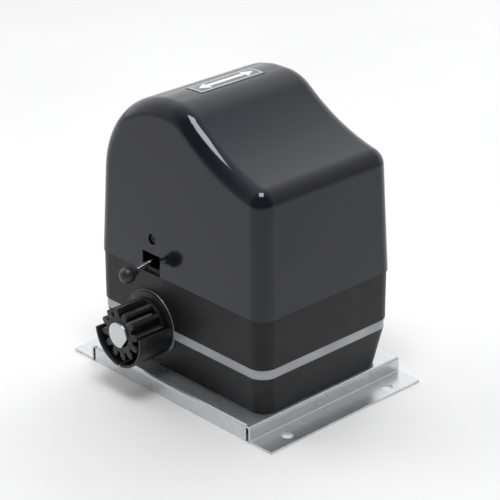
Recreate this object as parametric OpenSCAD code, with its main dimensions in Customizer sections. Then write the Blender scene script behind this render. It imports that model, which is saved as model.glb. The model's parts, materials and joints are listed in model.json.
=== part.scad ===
// Sliding gate opener: rack-and-pinion drive unit on a folded steel base plate.
// Millimetres, +Z up. The origin is the centre of the four foot holes, at ground level.
// -Y is the pinion and limit lever side, +X the low end under the wave of the cover.

/* [Base plate] */
// Length of the raised part of the plate
plate_length = 243; // [236:1:250]
// Width of the plate
plate_width = 214; // [208:1:224]
// Height of the raised part above the ground
plate_height = 18; // [16:0.5:20]
// Sheet thickness
plate_sheet = 2.5; // [2:0.5:3]
// Length of each foot that rests on the ground
foot_length = 29.5; // [28:0.5:36]
// Diameter of the four foot holes
foot_hole_d = 12; // [9:0.5:13]
// Distance of the foot holes from the middle, along the plate
foot_hole_x = 138; // [136:0.5:140]
// Distance of the foot holes from the middle, across the plate
foot_hole_y = 72; // [50:1:85]

/* [Housing] */
// Length of the body where the cover meets the middle housing
body_length = 248; // [246:0.5:249]
// Width of the body at the same height
body_width = 187; // [186:0.5:188]
// Radius of the upright corners
corner_r = 18; // [16:1:20]
// Length of the lower housing where it stands on the plate
low_length = 232; // [226:1:236]
// Width of the lower housing where it stands on the plate
low_width = 166.4; // [162:0.4:172]
// Height of the underside of the aluminium flange
band_z = 61.5; // [61:0.5:62]
// Thickness of the aluminium flange, seen as a light band
band_height = 10.5; // [9.5:0.5:11]
// Height of the seam below the cover
seam_z = 125; // [124:0.5:127]
// Wall of the three plastic housings
wall = 3; // [2.5:0.25:3.25]

/* [Cover] */
// Height of the crest of the cover
crest_z = 310.5; // [300:0.5:320]
// Radius of the round back of the cover
back_r = 95; // [88:1:98]
// Radius of the brow, where the crest turns down into the wave
brow_r = 50; // [45:1:55]
// Steepest slope of the wave, in degrees
wave_angle = 38.5; // [36:0.5:40]
// Radius of the hollow of the wave
hollow_r = 220; // [200:5:240]
// Length of the level crest
crest_flat = 8; // [0:1:14]
// Radius of the low front edge
nose_r = 19; // [19:0.5:22]
// Radius of the long top edges
edge_r = 17.5; // [14:0.5:20]
// Draft of the high end wall, in degrees
end_draft = 2.4; // [1:0.1:3]
// Draft of the low front wall, in degrees
front_draft = 3; // [1.5:0.1:3.5]
// Draft of the side walls, in degrees
side_draft = 2; // [1.5:0.1:2.4]
// Width of the lever slot
slot_width = 26; // [25:0.5:28]
// Height of the top of the lever slot
slot_top = 147; // [146:0.5:150]

/* [Output drive] */
// Output shaft axis, along the body
axis_x = -40.5; // [-42:0.5:-39]
// Output shaft axis, above the ground
axis_z = 69.5; // [69:0.5:70.5]
// Diameter of the output shaft in its bearings
shaft_d = 25; // [24:0.5:25]
// Diameter of the output shaft under the pinion
seat_d = 27; // [26:0.5:28]
// Reach of the output shaft from the middle of the body
shaft_reach = 137.5; // [136:0.5:140]
// Module of the rack pinion
pinion_module = 4; // [4:0.1:4.1]
// Number of pinion teeth
pinion_teeth = 12; // [12:1:12]
// Width of the pinion teeth
pinion_width = 34; // [30:1:35]
// Module of the worm wheel
wheel_module = 2; // [2:0.01:2.01]
// Number of worm wheel teeth
wheel_teeth = 30; // [30:1:30]
// Pitch diameter of the worm
worm_pitch_d = 20; // [20:0.1:20.2]

/* [Motor] */
// Diameter of the motor casing without its ribs
motor_d = 96; // [90:1:97]
// Height of the motor casing
motor_height = 78; // [74:1:84]

/* [Limit lever] */
// Height of the ball knob above the ground
knob_z = 133.5; // [132:0.5:135]
// Reach of the ball knob from the middle of the body
knob_reach = 124.5; // [121:0.5:126]
// Diameter of the ball knob
knob_d = 17; // [15:0.5:18]
// Diameter of the lever rod
rod_d = 6; // [5:0.5:6.5]

/* [Hidden] */
$fn = 48;
hull_fn = 32;
eps = 0.01;
play = 0.3;

// Heights that several parts share
floor_t = 4;
floor_z = plate_height + floor_t;
band_top = band_z + band_height;
band_length = 245;
band_width = 183.5;

// Rise from the seam to the centre of the low front edge
nose_rise = 114;

// Screws that hold the middle housing on the flange, in plan
housing_screw_points = [[-112, 0], [112, 0], [50, -82.5], [50, 82.5]];

// Gearbox case, in plan and in height
case_x0 = -88;
case_x1 = 28;
case_y0 = -44;
case_y1 = 40;
case_z0 = 23;
case_z1 = 112;
case_wall = 8;
case_floor = 30;
case_roof = 106;
cover_plate = 6;
column_x = 95;
column_y = 60;
column_d = 20;
cable_hole_r = 18;
boss_r = 35.2;
boss_face = -93.5;

// Output bearings are 25 x 52 x 15, the seal is 25 x 52 x 7
bearing_r = 26;
bearing_w = 15;
front_bearing_y = -86;
rear_bearing_y = 41;
seal_y = -93.5;
seal_w = 7;
shaft_r = shaft_d / 2;
shaft_rear = 55;
shaft_flat = 11;
shaft_flat_angle = -35;

// Pinion
pinion_front = -135;
pinion_back = pinion_front + pinion_width;
pinion_root_r = 19.5;
pinion_tip_r = 27.8;
pinion_disc_r = 28;
pinion_disc_w = 3;
pinion_phase = 10;
guard_ring_y = boss_face - 3;
seat_back = pinion_back + pinion_disc_w;
guard_r = 35;
guard_screw_r = 30.8;
guard_wall = 2.4;

// Worm drive: the motor stands upright beside the wheel
wheel_width = 14;
hub_r = 20;
hub_front = -17;
hub_back = 14;
worm_x = axis_x + (wheel_module * wheel_teeth + worm_pitch_d) / 2;
worm_pitch = wheel_module * PI;
worm_lead_angle = atan(worm_pitch / (PI * worm_pitch_d));
worm_turns = 5;
worm_z0 = axis_z - worm_pitch * worm_turns / 2;

// Dog clutch and its manual release
clutch_y0 = -30;
clutch_y1 = -17;
dog_length = 4;
release_x = axis_x - 27.5;
release_z = axis_z + 28.5;
fork_angle = atan((release_z - axis_z) / (axis_x - release_x));
release_r = 5;
release_end = 101;

// Motor
motor_z0 = case_z1;
motor_z1 = motor_z0 + motor_height;
motor_seat_r = 60;
bolt_circle = 54;
bolt_offset = bolt_circle * cos(45);
stator_z0 = motor_z0 + 13;
stator_h = 46;

// Limit lever
lever_x = -38;
pivot_y = -61;
lever_drop = 8.7;
rod_z = knob_z + (knob_reach + pivot_y) * tan(lever_drop);
cover_screw_x = -37;
cover_screw_z = 163;

// Sheet posts under the cover, and the label on its crest
sheet = 2;
post_y = 74;
post_top = 172;
post_slot_r = 2.8;
label_x = -42;
label_across = 24;
label_back = 47;
label_length = 87;

// Electronics
capacitor_x = -98;
capacitor_y = 64;
capacitor_r = 17;
capacitor_h = 74;
board_x = 76;
board_t = 1.6;
board_half = 72;
board_z0 = 96;
board_z1 = 216;
bracket_x = 66;
chips_z = 150;

// ---------- shared shapes ----------

module rounded_rect(l, w, r) {
    union() {
        square([l - 2 * r, w], center = true);
        square([l, w - 2 * r], center = true);
        for (x = [-1, 1], y = [-1, 1])
            translate([x * (l / 2 - r), y * (w / 2 - r)]) circle(r);
    }
}

// A block whose rounded rectangle changes size from z0 to z1
module tapered_block(l0, w0, z0, l1, w1, z1, r) {
    hull() {
        translate([0, 0, z0]) linear_extrude(eps) rounded_rect(l0, w0, r, $fn = hull_fn);
        translate([0, 0, z1 - eps]) linear_extrude(eps) rounded_rect(l1, w1, r, $fn = hull_fn);
    }
}

// A cylinder along +Y that starts at y
module rod_y(x, y, z, r, h) {
    translate([x, y, z]) rotate([-90, 0, 0]) cylinder(r = r, h = h);
}

module rod_z(x, y, z, r, h) {
    translate([x, y, z]) cylinder(r = r, h = h);
}

// A block given by its two opposite corners
module block(a, b) {
    translate(a) cube(b - a);
}

// A socket screw along +Y: head from y to y + head_h, shank behind it
module screw_y(x, y, z, r, head_r, head_h, length) {
    difference() {
        union() {
            rod_y(x, y, z, head_r, head_h);
            rod_y(x, y + head_h - eps, z, r, length);
        }
        translate([x, y - eps, z]) rotate([-90, 0, 0]) cylinder(r = r * 0.6, h = head_h * 0.6, $fn = 6);
    }
}

// A socket screw along Z whose head stands on z and whose shank points down
module screw_down(x, y, z, r, head_r, head_h, length) {
    difference() {
        union() {
            rod_z(x, y, z, head_r, head_h);
            rod_z(x, y, z - length, r, length + eps);
        }
        translate([x, y, z + head_h * 0.4]) cylinder(r = r * 0.6, h = head_h, $fn = 6);
    }
}

function polar(r, a) = [r * cos(a), r * sin(a)];
function involute(a) = tan(a) * 180 / PI - a;

// Half the angle that a tooth fills at radius r
function tooth_half(r, z, m, shrink) =
    let (base = m * z / 2 * cos(20))
    90 / z + involute(20) - (r > base ? involute(acos(base / r)) : 0) - shrink;

// Outline of a spur gear with involute flanks
function gear_outline(z, m, root, tip, shrink, steps = 5) = [
    for (t = [0 : z - 1])
        each concat(
            [for (i = [0 : steps]) let (r = root + (tip - root) * i / steps)
                polar(r, 360 / z * t - tooth_half(r, z, m, shrink))],
            [for (i = [steps : -1 : 0]) let (r = root + (tip - root) * i / steps)
                polar(r, 360 / z * t + tooth_half(r, z, m, shrink))])];

function middle(ring) = [for (k = [0 : 2]) let (c = [for (p = ring) p[k]]) (min(c) + max(c)) / 2];

// A polyhedron through rings of points that all have the same count. Each end is closed by
// triangles that meet at a cap point.
module skin(rings, first_cap, last_cap) {
    n = len(rings);
    m = len(rings[0]);
    caps = n * m;
    polyhedron(
        points = concat([for (ring = rings) each ring], [first_cap, last_cap]),
        faces = concat(
            [for (j = [0 : m - 1]) [caps, (j + 1) % m, j]],
            [for (i = [0 : n - 2], j = [0 : m - 1])
                [i * m + j, i * m + (j + 1) % m, (i + 1) * m + (j + 1) % m]],
            [for (i = [0 : n - 2], j = [0 : m - 1])
                [i * m + j, (i + 1) * m + (j + 1) % m, (i + 1) * m + j]],
            [for (j = [0 : m - 1]) [caps + 1, (n - 1) * m + j, (n - 1) * m + (j + 1) % m]]));
}

// ---------- cover outline ----------

// The wave in the XZ plane as [x, z, nx, nz, edge radius], from the rear foot over the crest to
// the front foot; inset moves it inward. The long edges get sharper towards the low front edge.
function wave(inset) =
    let (
        rb = back_r - inset, rw = brow_r - inset, rh = hollow_r + inset, rn = nose_r - inset,
        cz = crest_z - back_r,
        cx = -body_length / 2 + (cz - seam_z) * tan(end_draft) + back_r / cos(end_draft),
        bx = cx + crest_flat,
        wz = crest_z - brow_r,
        hx = bx + (brow_r + hollow_r) * sin(wave_angle),
        hz = wz + (brow_r + hollow_r) * cos(wave_angle),
        nx = body_length / 2 - nose_r / cos(front_draft) - nose_rise * tan(front_draft),
        low = asin((hx - nx) / (hollow_r + nose_r)),
        nz = hz - (hollow_r + nose_r) * cos(low),
        nose_edge = nose_r - 2)
    concat(
        [[-body_length / 2 + inset, seam_z, -1, 0, edge_r]],
        [for (i = [0 : 14]) let (a = end_draft + (90 - end_draft) * i / 14)
            [cx - rb * cos(a), cz + rb * sin(a), -cos(a), sin(a), edge_r]],
        [for (i = [0 : 6]) let (a = wave_angle * i / 6)
            [bx + rw * sin(a), wz + rw * cos(a), sin(a), cos(a), edge_r]],
        [for (i = [1 : 8]) let (a = wave_angle + (low - wave_angle) * i / 8)
            [hx - rh * sin(a), hz - rh * cos(a), sin(a), cos(a),
                edge_r + (nose_edge - edge_r) * pow(i / 8, 2)]],
        [for (i = [1 : 7]) let (a = low + (90 - front_draft - low) * i / 7)
            [nx + rn * sin(a), nz + rn * cos(a), sin(a), cos(a), nose_edge]],
        [[body_length / 2 - inset, seam_z, 1, 0, edge_r]]);

function side_y(z) = body_width / 2 - (z - seam_z) * tan(side_draft);

// One ring of the cover: the wave at an angle round the long edge, on one side
function wave_ring(inset, side, turn) =
    [for (p = wave(inset))
        let (d = (p[4] - inset) * (1 - cos(turn)), z = p[1] - p[3] * d)
        [p[0] - p[2] * d, side * (side_y(z) - edge_r + (edge_r - inset) * sin(turn)), z]];

// The filled cover, inset by the given amount
module cover_block(inset) {
    cap_z = seam_z + 60;
    skin(
        concat(
            [for (i = [0 : 6]) wave_ring(inset, 1, 90 - 15 * i)],
            [for (i = [0 : 6]) wave_ring(inset, -1, 15 * i)]),
        [0, side_y(cap_z) - inset, cap_z],
        [0, inset - side_y(cap_z), cap_z]);
}

// ---------- base and housings ----------

module base_plate() {
    half_l = plate_length / 2;
    half_w = plate_width / 2;
    color("silver") difference() {
        union() {
            block([-half_l, -half_w, plate_height - plate_sheet], [half_l, half_w, plate_height]);
            for (s = [-1, 1]) {
                block([s > 0 ? half_l - plate_sheet : -half_l, -half_w, 0],
                    [s > 0 ? half_l : -half_l + plate_sheet, half_w, plate_height]);
                block([s > 0 ? half_l - eps : -half_l - foot_length, -half_w, 0],
                    [s > 0 ? half_l + foot_length : -half_l + eps, half_w, plate_sheet]);
                block([-half_l + 6, s > 0 ? half_w - plate_sheet : -half_w, 0],
                    [half_l - 6, s > 0 ? half_w : -half_w + plate_sheet, plate_height]);
            }
        }
        for (x = [-1, 1], y = [-1, 1]) {
            rod_z(x * foot_hole_x, y * foot_hole_y, -1, foot_hole_d / 2, plate_sheet + 2);
            rod_z(x * column_x, y * column_y, plate_height - 5, 4.5, 10);
        }
        rod_z(column_x, 0, plate_height - 5, 20, 10);
    }
}

module base_screws() {
    color("gray") for (x = [-1, 1], y = [-1, 1]) {
        top = plate_height - plate_sheet;
        translate([x * column_x, y * column_y, top - 5.5]) cylinder(r = 7.5, h = 5.5, $fn = 6);
        rod_z(x * column_x, y * column_y, top - eps, 4, 30);
    }
}

module lower_housing() {
    color([0.13, 0.13, 0.14]) difference() {
        tapered_block(low_length, low_width, plate_height, band_length - 0.4, band_width - 0.4,
            band_z, corner_r - 1);
        tapered_block(low_length - 2 * wall, low_width - 2 * wall, floor_z,
            band_length - 0.4 - 2 * wall, band_width - 0.4 - 2 * wall, band_z + eps, corner_r - 4);
        for (x = [-1, 1], y = [-1, 1])
            rod_z(x * column_x, y * column_y, plate_height - 1, 4.5, floor_t + 2);
        rod_z(column_x, 0, plate_height - 1, 12.6, floor_t + 2);
        rod_y(axis_x, -110, axis_z, boss_r + play, 40);
    }
}

module middle_housing() {
    ear_r = 8.5;
    color([0.12, 0.12, 0.13]) difference() {
        union() {
            difference() {
                tapered_block(band_length + 1.8, band_width + 1.8, band_top,
                    body_length - 1.6, body_width - 1.6, seam_z - 0.5, corner_r);
                tapered_block(band_length + 1.8 - 2 * wall, band_width + 1.8 - 2 * wall,
                    band_top - eps, body_length - 1.6 - 2 * wall, body_width - 1.6 - 2 * wall,
                    seam_z, corner_r - wall);
            }
            upstand();
            for (p = housing_screw_points) rod_z(p[0], p[1], band_top, ear_r, 8);
        }
        for (p = housing_screw_points) rod_z(p[0], p[1], band_top - 1, 2.75, 12);
        rod_y(axis_x, -110, axis_z, boss_r + play, 40);
        rod_y(release_x, 80, release_z, release_r + play, 20);
    }
}

// The rim inside the cover that keeps it in place
module upstand() {
    l = body_length - 2 * wall - 1.2;
    w = body_width - 2 * wall - 1.2;
    translate([0, 0, seam_z - 7]) linear_extrude(12) difference() {
        rounded_rect(l, w, corner_r - wall);
        rounded_rect(l - 4.4, w - 4.4, corner_r - wall - 2.2);
    }
}

module housing_screws() {
    color("gray") {
        for (p = housing_screw_points) screw_down(p[0], p[1], band_top + 8, 2.5, 4.5, 5, 16);
    }
}

module top_cover() {
    y = side_y(cover_screw_z);
    color([0.17, 0.18, 0.2]) difference() {
        union() {
            difference() {
                cover_block(0);
                cover_block(wall);
            }
            for (s = [-1, 1])
                rod_y(cover_screw_x, s > 0 ? y - 9 : -y + 1, cover_screw_z, 8, 8);
        }
        translate([lever_x - slot_width / 2, -120, seam_z - 1])
            cube([slot_width, 40, slot_top - seam_z + 1]);
        for (s = [-1, 1]) {
            rod_y(cover_screw_x, s > 0 ? y - 6 : -y - 6, cover_screw_z, 5.5, 12);
            rod_y(cover_screw_x, s > 0 ? y - 12 : -y, cover_screw_z, 2.8, 12);
        }
    }
}

// A thin plate that follows the crest
module cover_label() {
    color([0.75, 0.76, 0.78]) translate([0, label_back, 0]) rotate([90, 0, 0])
        linear_extrude(label_length)
        intersection() {
            difference() {
                polygon([for (p = wave(-0.6)) [p[0], p[1]]]);
                polygon([for (p = wave(0)) [p[0], p[1]]]);
            }
            translate([label_x, crest_z - 20]) square([label_across, 40]);
        }
}

module cover_screws() {
    y = side_y(cover_screw_z);
    color("gray") {
        screw_y(cover_screw_x, -y + 2, cover_screw_z, 2.5, 4.6, 4, 14);
        mirror([0, 1, 0]) screw_y(cover_screw_x, -y + 2, cover_screw_z, 2.5, 4.6, 4, 14);
    }
}

// An open slot that holds a cover screw
module post_slot(y) {
    rod_y(cover_screw_x, y, cover_screw_z, post_slot_r, 10);
    block([cover_screw_x - post_slot_r, y, cover_screw_z],
        [cover_screw_x + post_slot_r, y + 10, post_top + 8]);
}

// Sheet posts for the cover screws; the front one also spans the boss and lets the lever through
module front_bracket() {
    y = -post_y - sheet;
    color("lightgray") difference() {
        union() {
            block([-84, y, band_top], [3, -post_y, 124]);
            block([-58, y, 123], [-18, -post_y, post_top]);
            block([-84, y, band_top], [-76.5, y + 12, band_top + sheet]);
            block([-4.5, y, band_top], [3, y + 12, band_top + sheet]);
        }
        rod_y(axis_x, y - 4, axis_z, boss_r + play, 10);
        block([lever_x - 9, y - 4, 130], [lever_x + 9, y + 6, 152]);
        post_slot(y - 4);
    }
}

module rear_bracket() {
    color("lightgray") difference() {
        union() {
            block([-56, post_y, band_top], [-18, post_y + sheet, post_top]);
            block([-56, post_y - 12, band_top], [-18, post_y + sheet, band_top + sheet]);
        }
        post_slot(post_y - 4);
    }
}

// ---------- gearbox ----------

module gearbox_body() {
    color([0.7, 0.71, 0.72]) difference() {
        union() {
            translate([0, 0, band_z]) linear_extrude(band_height)
                rounded_rect(band_length, band_width, corner_r);
            block([case_x0, case_y0, case_z0], [case_x1, case_y1, case_z1]);
            rod_y(axis_x, boss_face, axis_z, boss_r, case_y0 - boss_face + eps);
            rod_z(worm_x, 0, case_roof, motor_seat_r, case_z1 - case_roof);
            for (x = [-1, 1], y = [-1, 1])
                rod_z(x * column_x, y * column_y, floor_z, column_d / 2, band_z - floor_z + eps);
        }
        difference() {
            block([case_x0 + case_wall, case_y0 + 6, case_floor],
                [case_x1 - case_wall, case_y1 + eps, case_roof]);
            rod_z(worm_x, 0, case_floor - eps, 20, 10);
            rod_z(worm_x, 0, case_roof - 6, 23, 7);
        }
        rod_z(worm_x, 0, case_floor, 16.05, 11);
        rod_z(worm_x, 0, case_roof - 7, 12.5, 8);
        rod_z(worm_x, 0, case_roof - 5, 17.55, 12);
        rod_y(axis_x, boss_face - 1, axis_z, bearing_r + 0.05, front_bearing_y + bearing_w - boss_face + 1);
        rod_y(axis_x, -80, axis_z, 17, 50);
        rod_y(release_x, case_y0 + 1, release_z, release_r + 0.1, 10);
        for (x = [-1, 1], y = [-1, 1]) {
            rod_z(x * column_x, y * column_y, floor_z - 1, 4.1, 27);
            rod_z(worm_x + x * bolt_offset, y * bolt_offset, case_roof - 1, 2.6, 8);
        }
        for (p = gearbox_screw_points()) rod_y(p[0], case_y1 - 14, p[1], 2.1, 15);
        block([case_x0 - play, case_y1, band_z - 1],
            [case_x1 + play, case_y1 + cover_plate + 5, band_top + 1]);
        // The motor seat stops at the face that the case cover closes
        block([case_x0 - play, case_y1, case_roof - 1], [case_x1 + play, motor_seat_r + 1, case_z1 + 1]);
        rod_y(axis_x, case_y1, axis_z, 31 + play, cover_plate + 13);
        for (p = housing_screw_points) rod_z(p[0], p[1], band_z - 1, 2.6, 14);
        for (a = [30, 150, 270]) guard_hole(a, 1.6);
        rod_z(column_x, 0, band_z - 1, cable_hole_r, 14);
    }
}

function gearbox_screw_points() = concat(
    [for (x = [case_x0 + 4, case_x1 - 4], z = [36, 55, 80, 101]) [x, z]]);

module guard_hole(a, r) {
    p = polar(guard_screw_r, a);
    rod_y(axis_x + p[0], boss_face - 4, axis_z + p[1], r, 12);
}

module gearbox_cover() {
    color([0.66, 0.67, 0.68]) difference() {
        union() {
            block([case_x0, case_y1, case_z0], [case_x1, case_y1 + cover_plate, case_z1]);
            rod_y(axis_x, case_y1 + cover_plate - eps, axis_z, 31, 12);
        }
        rod_y(axis_x, case_y1 - 1, axis_z, bearing_r + 0.05, rear_bearing_y + bearing_w - case_y1 + 1);
        rod_y(release_x, case_y1 - 1, release_z, release_r + 0.1, 10);
        for (p = gearbox_screw_points()) rod_y(p[0], case_y1 - 1, p[1], 2.3, 10);
        rod_z(worm_x - bolt_offset, bolt_offset, case_roof - 1, 2.9, 8);
    }
}

module gearbox_screws() {
    color("gray") for (p = gearbox_screw_points())
        translate([0, 2 * case_y1 + 2 * cover_plate + 8, 0]) mirror([0, 1, 0])
            screw_y(p[0], case_y1 + cover_plate + 4, p[1], 2, 3.5, 4, 16);
}

module output_bearing_outers() {
    color("silver") for (y = [front_bearing_y, rear_bearing_y]) difference() {
        rod_y(axis_x, y, axis_z, bearing_r, bearing_w);
        rod_y(axis_x, y - 1, axis_z, 22.4, bearing_w + 2);
    }
}

module output_bearing_inners() {
    color("silver") for (y = [front_bearing_y, rear_bearing_y]) difference() {
        rod_y(axis_x, y, axis_z, 16.1, bearing_w);
        rod_y(axis_x, y - 1, axis_z, shaft_r, bearing_w + 2);
    }
}

module output_bearing_balls() {
    color("white") for (y = [front_bearing_y, rear_bearing_y], i = [0 : 8]) {
        p = polar(19.25, 40 * i);
        translate([axis_x + p[0], y + bearing_w / 2, axis_z + p[1]]) sphere(3.05);
    }
}

module oil_seal() {
    color([0.25, 0.1, 0.08]) difference() {
        rod_y(axis_x, seal_y, axis_z, bearing_r, seal_w);
        rod_y(axis_x, seal_y - 1, axis_z, shaft_r + 0.05, seal_w + 2);
        rod_y(axis_x, seal_y - 1, axis_z, 19, 4);
    }
}

module output_shaft() {
    color([0.85, 0.86, 0.87]) difference() {
        union() {
            rod_y(axis_x, -shaft_reach, axis_z, seat_d / 2, shaft_reach + seat_back);
            rod_y(axis_x, seat_back - eps, axis_z, shaft_r, shaft_rear - seat_back);
        }
        translate([axis_x, -shaft_reach - 1, axis_z]) rotate([0, -shaft_flat_angle, 0])
            translate([shaft_flat, 0, -20]) cube([20, shaft_reach - 100, 40]);
        block([axis_x - 4, -50, axis_z + shaft_r - 4], [axis_x + 4, -14, axis_z + 20]);
    }
}

module feather_key() {
    color("gray") block([axis_x - 4, -50, axis_z + shaft_r - 4], [axis_x + 4, -14, axis_z + shaft_r + 3]);
}

module pinion() {
    color([0.14, 0.14, 0.15]) difference() {
        union() {
            translate([axis_x, pinion_back, axis_z]) rotate([90, 0, 0])
                linear_extrude(pinion_width) rotate(pinion_phase)
                polygon(gear_outline(pinion_teeth, pinion_module, pinion_root_r, pinion_tip_r, -0.8));
            rod_y(axis_x, pinion_back - eps, axis_z, pinion_disc_r, pinion_disc_w);
        }
        rod_y(axis_x, pinion_front - 1, axis_z, seat_d / 2 + 0.02, pinion_width + 8);
        set_screw_at() cylinder(r = 3, h = 30);
    }
}

// Turns a cylinder so that it points outward from the shaft flat
module set_screw_at() {
    translate([axis_x, pinion_front + pinion_width / 2, axis_z])
        rotate([0, 90 - shaft_flat_angle, 0]) translate([0, 0, 5]) children();
}

module pinion_set_screw() {
    color("gray") set_screw_at() translate([0, 0, shaft_flat - 5]) difference() {
        cylinder(r = 2.95, h = 9);
        translate([0, 0, 5]) cylinder(r = 1.7, h = 5, $fn = 6);
    }
}

module pinion_guard() {
    color([0.1, 0.1, 0.11]) difference() {
        union() {
            rod_y(axis_x, guard_ring_y, axis_z, guard_r, 3);
            difference() {
                rod_y(axis_x, -shaft_reach, axis_z, guard_r, shaft_reach + guard_ring_y + eps);
                translate([axis_x, -shaft_reach - 1, axis_z]) rotate([-90, 0, 0])
                    linear_extrude(shaft_reach + guard_ring_y + 1)
                    polygon([[0, 0], [60, -12], [60, -60], [-60, -60], [-60, 4]]);
            }
        }
        rod_y(axis_x, -shaft_reach - 1, axis_z, guard_r - guard_wall, shaft_reach + guard_ring_y + 1);
        rod_y(axis_x, guard_ring_y - 1, axis_z, 18, 5);
        for (a = [30, 150, 270]) guard_hole(a, 1.9);
        block([axis_x - 1.5, -150, axis_z - 40], [axis_x + 1.5, -108, axis_z]);
    }
}

module guard_screws() {
    color("gray") for (a = [30, 150, 270]) {
        p = polar(guard_screw_r, a);
        rod_y(axis_x + p[0], guard_ring_y + 0.2, axis_z + p[1], 1.55, 10);
    }
}

// Tooth blank tilted by the lead angle, as on a real wheel cut for a single-start worm
module worm_wheel() {
    tip = wheel_module * wheel_teeth / 2 + wheel_module;
    root = tip - 2.25 * wheel_module;
    color([0.72, 0.55, 0.3]) difference() {
        union() {
            rod_y(axis_x, -wheel_width / 2, axis_z, root, wheel_width);
            for (i = [0 : wheel_teeth - 1])
                translate([axis_x, 0, axis_z]) rotate([0, 360 / wheel_teeth * (i + 0.5), 0])
                translate([root - 0.5, 0, 0]) rotate([-worm_lead_angle, 0, 0])
                rotate([90, 0, 0]) linear_extrude(wheel_width, center = true)
                polygon([[0, -1.9], [tip - root + 0.4, -0.75], [tip - root + 0.4, 0.75], [0, 1.9]]);
            rod_y(axis_x, hub_front, axis_z, hub_r, hub_back - hub_front);
        }
        rod_y(axis_x, hub_front - 1, axis_z, shaft_r + 0.05, hub_back - hub_front + 2);
        block([axis_x - 6, hub_front - 1, axis_z + 8], [axis_x + 6, -13, axis_z + 17]);
        for (a = [45 : 90 : 315])
            translate([axis_x, 0, axis_z]) rotate([0, a, 0])
            block([shaft_r + 1, hub_front - 1, -3.5], [hub_r + 1, hub_front + dog_length + 1, 3.5]);
    }
}

module clutch_ring() {
    color("darkgray") difference() {
        union() {
            rod_y(axis_x, clutch_y0, axis_z, hub_r, clutch_y1 - clutch_y0 - play);
            for (a = [45 : 90 : 315])
                translate([axis_x, 0, axis_z]) rotate([0, a, 0])
                block([shaft_r + 1.4, clutch_y1 - 1, -3.1], [hub_r - 0.6, clutch_y1 + dog_length, 3.1]);
        }
        rod_y(axis_x, clutch_y0 - 1, axis_z, shaft_r + 0.05, 30);
        block([axis_x - 4.1, clutch_y0 - 1, axis_z], [axis_x + 4.1, clutch_y1 + 1, axis_z + shaft_r + 3.2]);
        difference() {
            rod_y(axis_x, clutch_y0 + 4, axis_z, hub_r + 1, 5);
            rod_y(axis_x, clutch_y0 + 3, axis_z, 17.5, 7);
        }
    }
}

module clutch_fork() {
    y = clutch_y0 + 4.5;
    color("gray") difference() {
        union() {
            rod_y(release_x, clutch_y0, release_z, 7.6, 14);
            difference() {
                rod_y(axis_x, y, axis_z, 25, 4);
                translate([axis_x, y - 1, axis_z]) rotate([0, fork_angle, 0])
                    translate([-4, 0, -40]) cube([50, 6, 80]);
            }
            translate([release_x, y, release_z]) rotate([0, fork_angle, 0])
                translate([0, 0, -6]) cube([20, 4, 12]);
        }
        rod_y(axis_x, y - 1, axis_z, 18, 6);
        rod_y(release_x, clutch_y0 - 1, release_z, release_r + 0.1, 16);
        block([release_x - 12, clutch_y0 + 8.6, release_z - 1.8],
            [release_x + 1.8, clutch_y0 + 20, release_z + 12]);
    }
}

module release_shaft() {
    color("silver") {
        rod_y(release_x, case_y0 + 1.5, release_z, release_r, release_end - case_y0 - 1.5);
        translate([release_x, clutch_y0 + 12.4, release_z]) cylinder(r = 1.5, h = 7.4);
    }
}

module release_handle() {
    arm = 72;
    color([0.15, 0.15, 0.16]) difference() {
        union() {
            rod_y(release_x, 94, release_z, 13, 9);
            rod_y(release_x + arm, 94, release_z, 9, 6);
            block([release_x, 94, release_z - 9], [release_x + arm, 100, release_z + 9]);
        }
        rod_y(release_x, 90, release_z, release_r, 8);
        rod_y(release_x, 98, release_z, 7.05, 10);
        block([release_x + 18, 98, release_z - 5], [release_x + arm - 4, 101, release_z + 5]);
    }
}

module lock_cylinder() {
    color("gold") difference() {
        rod_y(release_x, 101, release_z, 7, 2.6);
        block([release_x - 4, 102, release_z - 0.7], [release_x + 4, 104, release_z + 0.7]);
    }
}

// ---------- motor ----------

module motor_casing() {
    r = motor_d / 2;
    color([0.55, 0.56, 0.58]) difference() {
        union() {
            rod_z(worm_x, 0, motor_z0, r, motor_height);
            for (a = [0 : 15 : 345]) translate([worm_x, 0, motor_z0 + 10]) rotate(a)
                translate([r - 1, -1, 0]) cube([3, 2, motor_height - 20]);
        }
        rod_z(worm_x, 0, motor_z0 + 4, r - 4, motor_height);
        rod_z(worm_x, 0, motor_z0 - 1, 9, 10);
    }
}

module motor_end_bell() {
    r = motor_d / 2;
    color([0.55, 0.56, 0.58]) difference() {
        union() {
            rod_z(worm_x, 0, motor_z1, r, 5);
            translate([worm_x, 0, motor_z1 + 5 - eps]) cylinder(r1 = r - 3, r2 = r - 14, h = 8);
            for (a = [45 : 90 : 315]) {
                p = polar(bolt_circle, a);
                rod_z(worm_x + p[0], p[1], motor_z1, 6, 5);
                translate([worm_x, 0, motor_z1]) rotate(a) translate([r - 8, -5, 0]) cube([12, 10, 4]);
            }
        }
        rod_z(worm_x, 0, motor_z1 - 1, 16.05, 11);
        for (a = [45 : 90 : 315]) {
            p = polar(bolt_circle, a);
            rod_z(worm_x + p[0], p[1], motor_z1 - 1, 2.8, 12);
        }
    }
}

module motor_bolts() {
    color("gray") for (a = [45 : 90 : 315]) {
        p = polar(bolt_circle, a);
        screw_down(worm_x + p[0], p[1], motor_z1 + 5, 2.5, 4.4, 5, motor_height + 10);
    }
}

module stator_core() {
    color([0.4, 0.41, 0.44]) difference() {
        rod_z(worm_x, 0, stator_z0, motor_d / 2 - 4, stator_h);
        rod_z(worm_x, 0, stator_z0 - 1, 29, stator_h + 2);
    }
}

module stator_windings() {
    color([0.72, 0.4, 0.2]) for (z = [stator_z0 - 8, stator_z0 + stator_h]) difference() {
        rod_z(worm_x, 0, z, 41, 8);
        rod_z(worm_x, 0, z - 1, 31, 10);
    }
}

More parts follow.
